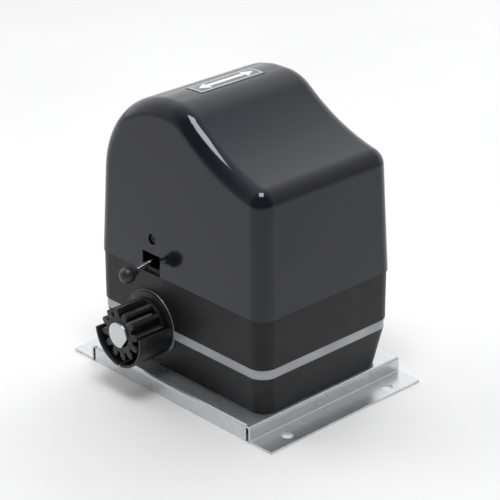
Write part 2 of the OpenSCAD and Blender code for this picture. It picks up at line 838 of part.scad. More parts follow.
module rotor_core() {
    color([0.5, 0.5, 0.52]) difference() {
        rod_z(worm_x, 0, stator_z0, 28.6, stator_h);
        rod_z(worm_x, 0, stator_z0 - 1, 7.5, stator_h + 2);
    }
}

// Thread section at an angle along the worm
function thread_ring(a) =
    let (r0 = worm_pitch_d / 2 - 2.3, r1 = worm_pitch_d / 2 + 2, z = worm_z0 + worm_pitch * a / 360)
    [for (q = [[r0 - 0.6, -2.2], [r1, -0.75], [r1, 0.75], [r0 - 0.6, 2.2]])
        [q[0] * cos(a), q[0] * sin(a), z + q[1]]];

module worm_shaft() {
    color([0.8, 0.8, 0.82]) translate([worm_x, 0, 0]) {
        cylinder_z(case_floor + 0.5, case_floor + 11, 6);
        cylinder_z(case_floor + 11, stator_z0 + stator_h + 8, 7.5);
        cylinder_z(stator_z0 + stator_h + 8, motor_z1 + 10, 6);
        thread = [for (a = [0 : 15 : 360 * worm_turns]) thread_ring(a)];
        skin(thread, middle(thread[0]), middle(thread[len(thread) - 1]));
    }
}

module cylinder_z(z0, z1, r) {
    translate([0, 0, z0 - eps]) cylinder(r = r, h = z1 - z0 + eps);
}

// Bearing places on the worm shaft: [height of the foot, outer radius, bore radius, width]
function motor_bearings() = [
    [case_floor, 16, 6, 10],
    [case_roof - 5, 17.5, 7.5, 11],
    [motor_z1 - 1, 16, 6, 10]];

module motor_bearing_outers() {
    color("silver") for (b = motor_bearings()) difference() {
        rod_z(worm_x, 0, b[0] + 0.5, b[1], b[3] - 0.5);
        rod_z(worm_x, 0, b[0] - 1, b[1] - 3.5, b[3] + 2);
    }
}

module motor_bearing_inners() {
    color("silver") for (b = motor_bearings()) difference() {
        rod_z(worm_x, 0, b[0] + 0.5, b[1] - 3.6, b[3] - 0.5);
        rod_z(worm_x, 0, b[0] - 1, b[2], b[3] + 2);
    }
}

// ---------- electrics ----------

module capacitor() {
    color([0.85, 0.85, 0.83]) translate([capacitor_x, capacitor_y, band_top]) {
        cylinder(r = capacitor_r, h = capacitor_h);
        cylinder_z(capacitor_h, capacitor_h + 3, 14);
        for (x = [-6, 6]) translate([x - 0.4, -3, capacitor_h + 2]) cube([0.8, 6, 9]);
    }
}

module capacitor_clamp() {
    color("lightgray") translate([capacitor_x, capacitor_y, band_top + 40]) difference() {
        union() {
            cylinder(r = capacitor_r + 1.5, h = 12);
            translate([14, -3, 0]) cube([11, 6, 12]);
        }
        translate([0, 0, -1]) cylinder(r = capacitor_r + 0.05, h = 14);
        translate([10, -0.75, -1]) cube([20, 1.5, 14]);
    }
}

module transformer_core() {
    color([0.35, 0.36, 0.38]) difference() {
        block([-116, -78, band_top], [-86, -50, band_top + 42]);
        for (z = [10, 24]) block([-117, -69, band_top + z], [-85, -59, band_top + z + 8]);
    }
}

module transformer_coil() {
    color([0.8, 0.65, 0.15]) for (x = [[-119.5, -116], [-86, -81]])
        block([x[0], -70, band_top + 9], [x[1], -58, band_top + 33]);
}

module board_bracket() {
    color("lightgray") difference() {
        union() {
            block([bracket_x, -76, band_top], [bracket_x + sheet, 76, board_z1 + 6]);
            block([bracket_x, -76, band_top], [bracket_x + 14, 76, band_top + sheet]);
        }
        block([bracket_x - 1, -40, 110], [bracket_x + sheet + 1, 40, 200]);
        rod_z(column_x, 0, band_top - 1, 18, 6);
    }
}

module board_standoffs() {
    color("gold") for (y = [-64, 64], z = [board_z0 + 6, board_z1 - 6])
        translate([bracket_x + sheet, y, z]) rotate([0, 90, 0])
            cylinder(r = 3, h = board_x - bracket_x - sheet);
}

module control_board() {
    color([0.05, 0.35, 0.2])
        block([board_x, -board_half, board_z0], [board_x + board_t, board_half, board_z1]);
}

module terminal_blocks() {
    x = board_x + board_t;
    color([0.1, 0.45, 0.25]) for (i = [0 : 3]) difference() {
        block([x, -66 + i * 33, board_z0 + 14], [x + 11, -36 + i * 33, board_z0 + 28]);
        for (j = [0 : 5])
            translate([x + 7, -63.5 + i * 33 + j * 5, board_z0 + 18]) cylinder(r = 1.6, h = 20);
    }
}

module relays() {
    x = board_x + board_t;
    color([0.15, 0.25, 0.55]) for (i = [0 : 2])
        block([x, -60 + i * 24, chips_z], [x + 16, -42 + i * 24, chips_z + 28]);
}

module receiver_module() {
    x = board_x + board_t;
    color([0.1, 0.3, 0.15]) {
        block([x, 20, chips_z], [x + 10, 22, chips_z + 40]);
        block([x + 2, 22, chips_z + 6], [x + 8, 26, chips_z + 14]);
        block([x + 2, 22, chips_z + 20], [x + 8, 25, chips_z + 34]);
    }
}

module fuse_holder() {
    x = board_x + board_t;
    color([0.12, 0.12, 0.12]) {
        block([x, 36, chips_z], [x + 3, 46, chips_z + 30]);
        for (z = [chips_z, chips_z + 25]) block([x + 3 - eps, 36, z], [x + 10, 46, z + 5]);
        rod_z(x + 6.5, 41, chips_z + 5, 2.6, 20);
    }
}

// ---------- limit switch ----------

module limit_switch_housing() {
    color([0.2, 0.2, 0.22]) difference() {
        block([-58, -74, 128], [-18, -50, 156]);
        block([-56, -72, 130], [-20, -52, 157]);
        block([lever_x - 9, -75, 132], [lever_x + 9, -71, 157]);
        rod_z(lever_x, pivot_y, 127, 2.55, 10);
    }
}

module limit_switches() {
    color([0.08, 0.08, 0.1]) for (s = [-1, 1]) {
        x = lever_x + s * 13;
        block([x - 4, -70, 131], [x + 4, -54, 142]);
        rod_x = s > 0 ? x - 5 : x + 4;
        block([rod_x - (s > 0 ? 0 : eps), -58, 135], [rod_x + 1, -56, 138]);
    }
}

module lever_pivot_pin() {
    color("silver") {
        rod_z(lever_x, pivot_y, 127, 2.5, 27);
        rod_z(lever_x, pivot_y, 126, 4, 1 + eps);
    }
}

module lever_spring() {
    turns = 4;
    r = 4.4;
    wire = 0.5;
    rise = 1.1;
    coil = [for (a = [0 : 20 : 360 * turns])
        [for (b = [0 : 60 : 300])
            [(r + wire * cos(b)) * cos(a), (r + wire * cos(b)) * sin(a), a / 360 * rise + wire * sin(b)]]];
    color("silver") translate([lever_x, pivot_y, 149])
        skin(coil, middle(coil[0]), middle(coil[len(coil) - 1]));
}

module limit_lever() {
    color("white") difference() {
        union() {
            rod_z(lever_x, pivot_y, 136.5, 6, 11.5);
            translate([lever_x, pivot_y, rod_z]) rotate([90 + lever_drop, 0, 0])
                cylinder(r = rod_d / 2, h = (knob_reach + pivot_y) / cos(lever_drop) - 3);
            block([lever_x - 1.5, pivot_y, 137], [lever_x + 1.5, pivot_y + 8, 142]);
        }
        rod_z(lever_x, pivot_y, 130, 2.55, 30);
    }
}

module lever_knob() {
    color([0.05, 0.05, 0.05]) translate([lever_x, -knob_reach, knob_z]) rotate([-90 + lever_drop, 0, 0])
        difference() {
            union() {
                sphere(knob_d / 2);
                translate([0, 0, knob_d / 2 - 2]) cylinder(r = 4.8, h = 5);
            }
            translate([0, 0, 3]) cylinder(r = rod_d / 2 + 0.02, h = 20);
        }
}

module cable_gland() {
    color([0.1, 0.1, 0.1]) difference() {
        union() {
            rod_z(column_x, 0, 6, 12.5, 24);
            rod_z(column_x, 0, plate_height - 6, 16, 6);
            translate([column_x, 0, floor_z]) cylinder(r = 17, h = 6, $fn = 6);
        }
        rod_z(column_x, 0, 5, 8, 30);
    }
}

base_plate();
base_screws();
lower_housing();
gearbox_body();
gearbox_cover();
gearbox_screws();
middle_housing();
housing_screws();
top_cover();
cover_label();
cover_screws();
front_bracket();
rear_bracket();
pinion();
pinion_set_screw();
pinion_guard();
guard_screws();
output_shaft();
feather_key();
output_bearing_outers();
output_bearing_inners();
output_bearing_balls();
oil_seal();
worm_wheel();
clutch_ring();
clutch_fork();
release_shaft();
release_handle();
lock_cylinder();
motor_casing();
motor_end_bell();
motor_bolts();
stator_core();
stator_windings();
rotor_core();
worm_shaft();
motor_bearing_outers();
motor_bearing_inners();
capacitor();
capacitor_clamp();
transformer_core();
transformer_coil();
board_bracket();
control_board();
board_standoffs();
terminal_blocks();
relays();
receiver_module();
fuse_holder();
limit_switch_housing();
limit_switches();
lever_pivot_pin();
lever_spring();
limit_lever();
lever_knob();
cable_gland();
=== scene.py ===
"""Looks of the sliding gate opener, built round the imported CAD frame.

The cover, both housings, the base plate, the limit lever with its knob and the label are
rebuilt with smooth surfaces and softened edges. Every other piece keeps its CAD shape, and
gets softened edges unless it is the worm or the spring. Every material is made of nodes.
"""
import json
import math

import bmesh
import bpy
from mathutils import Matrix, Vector


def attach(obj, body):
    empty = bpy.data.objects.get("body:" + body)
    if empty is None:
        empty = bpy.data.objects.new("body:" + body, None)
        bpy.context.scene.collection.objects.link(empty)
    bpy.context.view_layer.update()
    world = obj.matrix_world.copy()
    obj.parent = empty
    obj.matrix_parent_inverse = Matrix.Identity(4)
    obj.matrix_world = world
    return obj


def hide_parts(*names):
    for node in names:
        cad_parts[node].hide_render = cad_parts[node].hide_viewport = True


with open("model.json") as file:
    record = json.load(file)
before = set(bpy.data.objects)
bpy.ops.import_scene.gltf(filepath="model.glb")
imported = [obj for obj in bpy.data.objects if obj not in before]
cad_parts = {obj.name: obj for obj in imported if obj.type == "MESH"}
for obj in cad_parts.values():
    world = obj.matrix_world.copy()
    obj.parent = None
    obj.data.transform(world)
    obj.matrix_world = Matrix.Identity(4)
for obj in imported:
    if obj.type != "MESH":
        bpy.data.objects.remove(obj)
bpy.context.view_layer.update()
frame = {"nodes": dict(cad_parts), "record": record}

MM = 0.001
SLOT_OF = {s["node"]: s["material_slot"] for s in frame["record"]["subparts"]}

# Sizes that the CAD part states, in millimetres, with angles in radians

# Body
BODY_L, BODY_W, WALL = 248.0, 187.0, 3.0
PLATE_Z, SEAM_Z = 18.0, 125.0
BAND_Z, BAND_TOP = 61.5, 72.0

# Wave-topped cover: radii along the wave from back to nose, then the rounding of its long edges
CREST_Z, BACK_R, BROW_R, HOLLOW_R, NOSE_R = 310.5, 95.0, 50.0, 220.0, 19.0
CREST_FLAT, NOSE_RISE, EDGE_R = 8.0, 114.0, 17.5
WAVE, END_DRAFT, FRONT_DRAFT, SIDE_DRAFT = (math.radians(a) for a in (38.5, 2.4, 3.0, 2.0))

# Output shaft, release shaft and the lever in its slot
AXIS_X, AXIS_Z = -40.5, 69.5
BOSS_R = 35.2
RELEASE_X, RELEASE_Z = -68.0, 98.0
LEVER_X, PIVOT_Y = -38.0, -61.0
LEVER_DROP = math.radians(8.7)
KNOB_Y, KNOB_Z = -124.5, 133.5
SLOT_HALF, SLOT_TOP = 13.0, 147.0

# Screws, the columns that they stand in, and the cable's way in
COVER_SCREW_X, COVER_SCREW_Z = -37.0, 163.0
HOUSING_SCREWS = [(-112, 0), (112, 0), (50, -82.5), (50, 82.5)]
COLUMN_X, COLUMN_Y, COLUMN_BORE_R = 95, 60, 4.5
COLUMNS = [(sx * COLUMN_X, sy * COLUMN_Y) for sx in (-1, 1) for sy in (-1, 1)]
CABLE_X, CABLE_Y = 95, 0

# The camera looks along this azimuth, and the studio's bright side lies behind the object
CAMERA_AZIMUTH = math.radians(46.4435)


# ---------- materials ----------

def set_range(node, from_lo, from_hi, lo, hi):
    """Sets the four numbers of a Map Range node."""
    for key, number in (("From Min", from_lo), ("From Max", from_hi), ("To Min", lo), ("To Max", hi)):
        node.inputs[key].default_value = number


class Nodes:
    """A short way to write a material's node tree."""

    def __init__(self, name):
        self.mat = bpy.data.materials.new(name)
        self.mat.use_nodes = True
        self.tree = self.mat.node_tree
        self.shader = self.tree.nodes["Principled BSDF"]
        self.coords = self.add("ShaderNodeTexCoord").outputs["Object"]

    def add(self, kind, **settings):
        """A new node, with its properties or input values set by name."""
        node = self.tree.nodes.new(kind)
        for key, value in settings.items():
            if hasattr(node, key):
                setattr(node, key, value)
            else:
                node.inputs[key.replace("_", " ").title()].default_value = value
        return node

    def link(self, out, into):
        self.tree.links.new(out, into)

    def stretched(self, factors):
        """The coordinates, scaled along each axis."""
        mapping = self.add("ShaderNodeMapping")
        mapping.inputs["Scale"].default_value = factors
        self.link(self.coords, mapping.inputs["Vector"])
        return mapping.outputs["Vector"]

    def noise(self, scale, detail=3.0, rough=0.55, vector=None):
        """Cloudy values around 0.5, in smaller patches as the scale grows."""
        node = self.add("ShaderNodeTexNoise")
        node.inputs["Scale"].default_value = scale
        node.inputs["Detail"].default_value = detail
        node.inputs["Roughness"].default_value = rough
        self.link(vector or self.coords, node.inputs["Vector"])
        return node.outputs["Fac"]

    def remap(self, value, lo, hi, from_lo=0.3, from_hi=0.7):
        """The value spread to lo..hi, by default from the middle range of a noise."""
        node = self.add("ShaderNodeMapRange")
        set_range(node, from_lo, from_hi, lo, hi)
        self.link(value, node.inputs["Value"])
        return node.outputs["Result"]

    def math(self, operation, a, b):
        """One arithmetic operation on two values or links."""
        node = self.add("ShaderNodeMath", operation=operation)
        for socket, value in zip(node.inputs, (a, b)):
            if isinstance(value, (int, float)):
                socket.default_value = value
            else:
                self.link(value, socket)
        return node.outputs[0]

    def mix(self, factor, a, b):
        """Colour a at factor 0 and colour b at factor 1."""
        node = self.add("ShaderNodeMix", data_type="RGBA")
        for socket, value in ((node.inputs["Factor"], factor), (node.inputs["A"], a), (node.inputs["B"], b)):
            if isinstance(value, tuple):
                socket.default_value = (*value, 1.0)
            elif isinstance(value, (int, float)):
                socket.default_value = value
            else:
                self.link(value, socket)
        return node.outputs["Result"]

    def edges(self, radius_mm, start=0.02, end=0.25):
        """1 close to a sharp edge, 0 on flat faces."""
        bevel = self.add("ShaderNodeBevel", samples=4)
        bevel.inputs["Radius"].default_value = radius_mm * MM
        geometry = self.add("ShaderNodeNewGeometry")
        dot = self.add("ShaderNodeVectorMath", operation="DOT_PRODUCT")
        self.link(bevel.outputs["Normal"], dot.inputs[0])
        self.link(geometry.outputs["Normal"], dot.inputs[1])
        return self.remap(dot.outputs["Value"], 1.0, 0.0, 1.0 - end, 1.0 - start)

    def bump(self, *layers):
        """Each layer is (height, strength, distance in mm)."""
        last = None
        for height, strength, distance in layers:
            node = self.add("ShaderNodeBump")
            node.inputs["Strength"].default_value = strength
            node.inputs["Distance"].default_value = distance * MM
            self.link(height, node.inputs["Height"])
            if last is not None:
                self.link(last, node.inputs["Normal"])
            last = node.outputs["Normal"]
        self.link(last, self.shader.inputs["Normal"])


def shade(colour, factor):
    """The colour made lighter or darker."""
    return tuple(min(1.0, c * factor) for c in colour)


def plastic(name, colour, rough, grain=900, depth=0.012, vary=0.12, edge_wear_and_highlight=1.25, coat=0.0, specular=0.5,
            tint=(1, 1, 1)):
    """Moulded plastic: a fine grain, faint flow marks, handling marks in the gloss, and paler edges that are
    partly scuffs and partly a painted highlight.
    """
    n = Nodes(name)
    flow = n.remap(n.noise(24, 4), 0.0, 1.0)
    base = n.mix(flow, shade(colour, 1 - vary), shade(colour, 1 + vary))
    # Paler edges in patches: partly scuffs, partly a painted highlight along the edges.
    if edge_wear_and_highlight > 1:
        scuffs_and_edge_highlight = n.math("MULTIPLY", n.edges(0.7), n.remap(n.noise(130, 5), 0.2, 1.0))
        base = n.mix(scuffs_and_edge_highlight, base, shade(colour, edge_wear_and_highlight))
    n.link(base, n.shader.inputs["Base Color"])
    smudge = n.noise(60, 6, 0.62)
    n.link(n.remap(smudge, rough * 0.86, rough * 1.16), n.shader.inputs["Roughness"])
    n.shader.inputs["Specular IOR Level"].default_value = specular
    n.shader.inputs["Specular Tint"].default_value = (*tint, 1.0)
    n.shader.inputs["Coat Weight"].default_value = coat
    n.shader.inputs["Coat Roughness"].default_value = 0.06
    n.bump((n.noise(grain, 2), 0.5, depth), (n.noise(35, 2), 0.25, 0.05))
    return n.mat


def metal(name, colour, rough, stretch=(1, 1, 1), grain=500, depth=0.01, vary=0.1, aniso=0.0,
          edge_wear_and_highlight=1.15, metallic=1.0):
    """Bare or plated metal, whose marks run along the axes with the smallest stretch factor."""
    n = Nodes(name)
    lines = n.noise(grain, 4, 0.6, n.stretched(stretch))
    patches = n.noise(45, 2)
    tone = n.remap(n.math("ADD", n.math("MULTIPLY", lines, 0.55), n.math("MULTIPLY", patches, 0.45)), 0, 1)
    base = n.mix(tone, shade(colour, 1 - vary), shade(colour, 1 + vary))
    # The edges are made lighter: partly edge wear, partly a painted highlight along the edges.
    if edge_wear_and_highlight > 1:
        base = n.mix(n.math("MULTIPLY", n.edges(0.5), 0.6), base, shade(colour, edge_wear_and_highlight))
    n.link(base, n.shader.inputs["Base Color"])
    n.shader.inputs["Metallic"].default_value = metallic
    n.shader.inputs["Anisotropic"].default_value = aniso
    n.link(n.remap(n.noise(40, 2), rough * 0.85, rough * 1.2), n.shader.inputs["Roughness"])
    n.bump((lines, 0.5, depth), (n.noise(30, 1), 0.2, 0.02))
    return n.mat


def laminations(name, colour):
    """Stacked sheets of electrical steel, with fine lines one above the other."""
    n = Nodes(name)
    wave = n.add("ShaderNodeTexWave", bands_direction="Z")
    wave.inputs["Scale"].default_value = 320
    wave.inputs["Distortion"].default_value = 0.4
    n.link(n.coords, wave.inputs["Vector"])
    base = n.mix(n.remap(n.noise(70, 4), 0, 1), shade(colour, 0.8), shade(colour, 1.25))
    base = n.mix(n.math("MULTIPLY", wave.outputs["Fac"], 0.5), base, shade(colour, 0.45))
    n.link(base, n.shader.inputs["Base Color"])
    n.shader.inputs["Metallic"].default_value = 0.7
    n.link(n.remap(n.noise(200, 3), 0.4, 0.6), n.shader.inputs["Roughness"])
    n.bump((wave.outputs["Fac"], 0.6, 0.1))
    return n.mat


def winding(name, colour):
    """Lacquered copper wire laid in rings."""
    n = Nodes(name)
    wave = n.add("ShaderNodeTexWave", wave_type="RINGS", rings_direction="Z")
    wave.inputs["Scale"].default_value = 260
    wave.inputs["Distortion"].default_value = 3.0
    wave.inputs["Detail Scale"].default_value = 2.0
    n.link(n.coords, wave.inputs["Vector"])
    base = n.mix(n.remap(n.noise(90, 4), 0, 1), shade(colour, 0.7), shade(colour, 1.2))
    base = n.mix(wave.outputs["Fac"], shade(colour, 0.35), base)
    n.link(base, n.shader.inputs["Base Color"])
    n.shader.inputs["Metallic"].default_value = 0.8
    n.shader.inputs["Coat Weight"].default_value = 0.5
    n.link(n.remap(n.noise(300, 3), 0.25, 0.4), n.shader.inputs["Roughness"])
    n.bump((wave.outputs["Fac"], 0.8, 0.3))
    return n.mat


def board(name, colour, copper):
    """Solder mask with the tracks that show through it."""
    n = Nodes(name)
    brick = n.add("ShaderNodeTexBrick")
    brick.inputs["Scale"].default_value = 90
    brick.inputs["Mortar Size"].default_value = 0.035
    brick.inputs["Color1"].default_value = (0, 0, 0, 1)
    brick.inputs["Color2"].default_value = (0, 0, 0, 1)
    brick.inputs["Mortar"].default_value = (1, 1, 1, 1)
    upright = n.add("ShaderNodeMapping")
    upright.inputs["Rotation"].default_value = (math.pi / 2, 0, math.pi / 2)
    n.link(n.coords, upright.inputs["Vector"])
    n.link(upright.outputs["Vector"], brick.inputs["Vector"])
    cell = n.add("ShaderNodeTexVoronoi", distance="CHEBYCHEV")
    cell.inputs["Scale"].default_value = 240
    n.link(n.coords, cell.inputs["Vector"])
    pads = n.remap(cell.outputs["Distance"], 1.0, 0.0, 0.1, 0.14)
    base = n.mix(n.remap(n.noise(40, 3), 0, 1), shade(colour, 0.8), shade(colour, 1.2))
    base = n.mix(n.math("MULTIPLY", brick.outputs["Color"], 0.5), base, shade(colour, 2.0))
    base = n.mix(pads, base, copper)
    n.link(base, n.shader.inputs["Base Color"])
    n.link(n.remap(n.noise(150, 3), 0.25, 0.38), n.shader.inputs["Roughness"])
    n.bump((brick.outputs["Color"], 0.4, 0.05), (pads, 0.4, 0.1))
    return n.mat


MATERIALS = {
    "galvanised_sheet": metal("galvanised_sheet", (0.66, 0.67, 0.69), 0.29, (1, 10, 10), 30, 0.002, 0.07,
                              edge_wear_and_highlight=1.0, metallic=0.82),
    "zinc_fasteners": metal("zinc_fasteners", (0.62, 0.62, 0.60), 0.3, (1, 1, 1), 900, 0.01),
    "black_housing": plastic("black_housing", (0.0125, 0.0127, 0.0140), 0.42, 1400, 0.012, specular=0.3),
    "cast_aluminium": metal("cast_aluminium", (0.42, 0.43, 0.455), 0.5, (1, 1, 1), 1200, 0.02, 0.06,
                            metallic=0.85),
    "gloss_cover": plastic("gloss_cover", (0.0095, 0.0096, 0.0160), 0.1, 1800, 0.0015, 0.06, 1.15,
                           specular=0.48, tint=(0.91, 0.93, 1.0)),
    "label_film": metal("label_film", (0.13, 0.135, 0.155), 0.3, (1, 40, 1), 300, 0.004, 0.05, metallic=0.3),
    "black_screws": metal("black_screws", (0.045, 0.045, 0.048), 0.3, metallic=0.8, edge_wear_and_highlight=3.0),
    "zinc_sheet": metal("zinc_sheet", (0.60, 0.61, 0.63), 0.32, (1, 30, 1), 120, 0.01),
    "black_nylon": plastic("black_nylon", (0.017, 0.0173, 0.0185), 0.36, 700, 0.02, 0.2, 1.9, specular=0.36),
    "machined_steel": metal("machined_steel", (0.59, 0.60, 0.61), 0.3, (1, 60, 1), 90, 0.006, 0.06, 0.3),
    "bearing_steel": metal("bearing_steel", (0.70, 0.70, 0.71), 0.12, (1, 40, 1), 90, 0.003, 0.05),
    "seal_rubber": plastic("seal_rubber", (0.13, 0.035, 0.025), 0.6, 600, 0.02, 0.2, 1.3),
    "bronze": metal("bronze", (0.56, 0.37, 0.16), 0.3, (1, 30, 1), 120, 0.01),
    "cast_steel": metal("cast_steel", (0.27, 0.27, 0.28), 0.5, (1, 1, 1), 700, 0.05),
    "brass_lock": metal("brass_lock", (0.70, 0.55, 0.25), 0.22, (1, 1, 1), 500, 0.004),
    "motor_aluminium": metal("motor_aluminium", (0.40, 0.41, 0.43), 0.46, (1, 1, 1), 900, 0.03),
    "lamination_steel": laminations("lamination_steel", (0.22, 0.23, 0.25)),
    "copper_winding": winding("copper_winding", (0.62, 0.26, 0.10)),
    "capacitor_can": plastic("capacitor_can", (0.60, 0.60, 0.57), 0.35, 500, 0.01, 0.06, 1.05),
    "coil_tape": plastic("coil_tape", (0.62, 0.48, 0.08), 0.3, 300, 0.03, 0.15, 1.1, 0.3),
    "circuit_board": board("circuit_board", (0.012, 0.12, 0.05), (0.72, 0.60, 0.30)),
    "terminal_plastic": plastic("terminal_plastic", (0.03, 0.22, 0.09), 0.42, 700, 0.02),
    "relay_plastic": plastic("relay_plastic", (0.02, 0.07, 0.28), 0.38, 700, 0.02),
    "switch_plastic": plastic("switch_plastic", (0.025, 0.025, 0.028), 0.4, 700, 0.02),
    "spring_steel": metal("spring_steel", (0.55, 0.55, 0.57), 0.25, (1, 1, 1), 900, 0.004),
    "chrome_rod": metal("chrome_rod", (0.86, 0.86, 0.88), 0.16, (1, 30, 1), 90, 0.001, 0.03),
    "black_knob": plastic("black_knob", (0.026, 0.026, 0.0275), 0.4, 900, 0.004, 0.1, 1.3),
}
LABEL_INK = plastic("label_ink", (0.74, 0.74, 0.75), 0.4, 900, 0.004, 0.03, 1.0)


# ---------- making meshes ----------

def finish_mesh(obj, body, stands_for=(), slot=None, material=None, smooth=30.0):
    """Gives a made object its body, the material of its slot and smooth shading, sharp past smooth degrees.
    """
    for polygon in obj.data.polygons:
        polygon.use_smooth = True
    obj.data.set_sharp_from_angle(angle=math.radians(smooth))
    keep = obj.modifiers.new("even_normals", "WEIGHTED_NORMAL")
    keep.keep_sharp = True
    obj.data.materials.clear()
    obj.data.materials.append(material or MATERIALS[slot])
    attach(obj, body)
    if stands_for:
        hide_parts(*stands_for)


def made(name, verts, faces):
    """A mesh object from points in millimetres."""
    mesh = bpy.data.meshes.new(name)
    mesh.from_pydata([tuple(c * MM for c in v) for v in verts], [], faces)
    mesh.update()
    obj = bpy.data.objects.new(name, mesh)
    bpy.context.scene.collection.objects.link(obj)
    return obj


def tidy(obj):
    """Joins points that coincide and turns every face outwards."""
    bm = bmesh.new()
    bm.from_mesh(obj.data)
    bmesh.ops.remove_doubles(bm, verts=bm.verts, dist=1e-7)
    bmesh.ops.recalc_face_normals(bm, faces=bm.faces)
    bm.to_mesh(obj.data)
    bm.free()
    return obj


def apply_all(obj):
    """Turns what the modifiers show into the mesh itself."""
    graph = bpy.context.evaluated_depsgraph_get()
    mesh = bpy.data.meshes.new_from_object(obj.evaluated_get(graph))
    obj.modifiers.clear()
    obj.data = mesh
    return obj


def cut(obj, cutters, operation="DIFFERENCE"):
    """Takes the cutters away from the object, or adds them with UNION, and uses them up."""
    for cutter in cutters:
        step = obj.modifiers.new("cut", "BOOLEAN")
        step.operation = operation
        step.solver = "EXACT"
        step.object = cutter
    apply_all(obj)
    for cutter in cutters:
        bpy.data.objects.remove(cutter)
    return obj


def soften(obj, width, segments=3, angle=35.0):
    """Rounds every edge sharper than the angle, then keeps the result."""
    step = obj.modifiers.new("soften", "BEVEL")
    step.width = width * MM
    step.segments = segments
    step.limit_method = "ANGLE"
    step.angle_limit = math.radians(angle)
    step.use_clamp_overlap = True
    return apply_all(obj)


def turned(name, profile, origin, axis, steps=64):
    """A turned solid: profile lists [radius, distance along the axis], and may start on the axis."""
    axis = Vector(axis).normalized()
    side = axis.orthogonal().normalized()
    up = axis.cross(side)
    origin = Vector(origin)
    verts, faces = [], []
    starts_on_axis = profile[0][0] == 0
    rings = profile[1:] if starts_on_axis else profile
    for r, d in rings:
        for k in range(steps):
            a = 2 * math.pi * k / steps
            verts.append(origin + axis * d + side * (r * math.cos(a)) + up * (r * math.sin(a)))
    for i in range(len(rings) - 1):
        for k in range(steps):
            a, b = i * steps + k, i * steps + (k + 1) % steps
            faces.append((a, b, b + steps, a + steps))
    if starts_on_axis:
        verts.append(origin + axis * profile[0][1])
        faces += [(len(verts) - 1, (k + 1) % steps, k) for k in range(steps)]
    else:
        faces.append(tuple(reversed(range(steps))))
    last = (len(rings) - 1) * steps
    faces.append(tuple(range(last, last + steps)))
    return made(name, verts, faces)


def rod(radius, start, end, steps=96):
    """A round bar between two points, to cut a bore or add a boss."""
    start, end = Vector(start), Vector(end)
    return turned("cutter", [[radius, 0], [radius, (end - start).length]], start, end - start, steps)


def box(a, b):
    """A block between two corners."""
    (x0, y0, z0), (x1, y1, z1) = a, b
    verts = [(x, y, z) for x in (x0, x1) for y in (y0, y1) for z in (z0, z1)]
    faces = [(0, 1, 3, 2), (4, 6, 7, 5), (0, 4, 5, 1), (2, 3, 7, 6), (0, 2, 6, 4), (1, 5, 7, 3)]
    return made("cutter", verts, faces)


def rounded_ring(length, width, radius, z):
    """The points of a rectangle with round corners, at a height."""
    ring, steps = [], 20
    for q, (sx, sy) in enumerate(((1, 1), (-1, 1), (-1, -1), (1, -1))):
        for k in range(steps + 1):
            a = math.pi / 2 * (q + k / steps)
            ring.append((sx * (length / 2 - radius) + radius * math.cos(a),
                         sy * (width / 2 - radius) + radius * math.sin(a), z))
    return ring


def loft(name, rings):
    """A closed solid through rings that have the same number of points, capped at both ends."""
    m = len(rings[0])
    verts = [p for ring in rings for p in ring]
    faces = [tuple(reversed(range(m))), tuple(range((len(rings) - 1) * m, len(rings) * m))]
    for i in range(len(rings) - 1):
        for j in range(m):
            a, b = i * m + j, i * m + (j + 1) % m
            faces.append((a, b, b + m, a + m))
    return made(name, verts, faces)


def rounded_block(name, sizes, radius):
    """A solid through rounded rectangles, each given as height, length and width."""
    return tidy(loft(name, [rounded_ring(length, width, radius, z) for z, length, width in sizes]))


# ---------- the wave-topped cover ----------

def back_centre():
    """The centre of the large radius at the back of the wave."""
    cz = CREST_Z - BACK_R
    cx = -BODY_L / 2 + (cz - SEAM_Z) * math.tan(END_DRAFT) + BACK_R / math.cos(END_DRAFT)
    return cx, cz


def wave(inset):
    """The cover's outline in the XZ plane: x, z, the outward direction and the long edge's radius."""
    rb, rw, rh, rn = BACK_R - inset, BROW_R - inset, HOLLOW_R + inset, NOSE_R - inset
    cx, cz = back_centre()
    bx = cx + CREST_FLAT
    wz = CREST_Z - BROW_R
    hx = bx + (BROW_R + HOLLOW_R) * math.sin(WAVE)
    hz = wz + (BROW_R + HOLLOW_R) * math.cos(WAVE)
    nx = BODY_L / 2 - NOSE_R / math.cos(FRONT_DRAFT) - NOSE_RISE * math.tan(FRONT_DRAFT)
    low = math.asin((hx - nx) / (HOLLOW_R + NOSE_R))
    nz = hz - (HOLLOW_R + NOSE_R) * math.cos(low)
    nose_edge = NOSE_R - 2
    rows = [(-BODY_L / 2 + inset, SEAM_Z, -1.0, 0.0, EDGE_R)]
    back, brow, hollow, nose = 56, 24, 28, 20
    for i in range(back + 1):
        a = END_DRAFT + (math.pi / 2 - END_DRAFT) * i / back
        rows.append((cx - rb * math.cos(a), cz + rb * math.sin(a), -math.cos(a), math.sin(a), EDGE_R))
    for i in range(brow + 1):
        a = WAVE * i / brow
        rows.append((bx + rw * math.sin(a), wz + rw * math.cos(a), math.sin(a), math.cos(a), EDGE_R))
    for i in range(1, hollow + 1):
        a = WAVE + (low - WAVE) * i / hollow
        edge = EDGE_R + (nose_edge - EDGE_R) * (i / hollow) ** 2
        rows.append((hx - rh * math.sin(a), hz - rh * math.cos(a), math.sin(a), math.cos(a), edge))
    for i in range(1, nose + 1):
        a = low + (math.pi / 2 - FRONT_DRAFT - low) * i / nose
        rows.append((nx + rn * math.sin(a), nz + rn * math.cos(a), math.sin(a), math.cos(a), nose_edge))
    rows.append((BODY_L / 2 - inset, SEAM_Z, 1.0, 0.0, EDGE_R))
    return rows


def side_y(z):
    """How far out the cover's side wall stands at a height."""
    return BODY_W / 2 - (z - SEAM_Z) * math.tan(SIDE_DRAFT)


def wave_ring(rows, inset, side, turn):
    """The wave moved in and down round the long edge: turn 0 is the top, a quarter turn the side."""
    ring = []
    for x, z, nx, nz, edge in rows:
        d = (edge - inset) * (1 - math.cos(turn))
        h = z - nz * d
        y = side_y(h) - EDGE_R + (EDGE_R - inset) * math.sin(turn)
        ring.append((x - nx * d, side * y, h))
    return ring


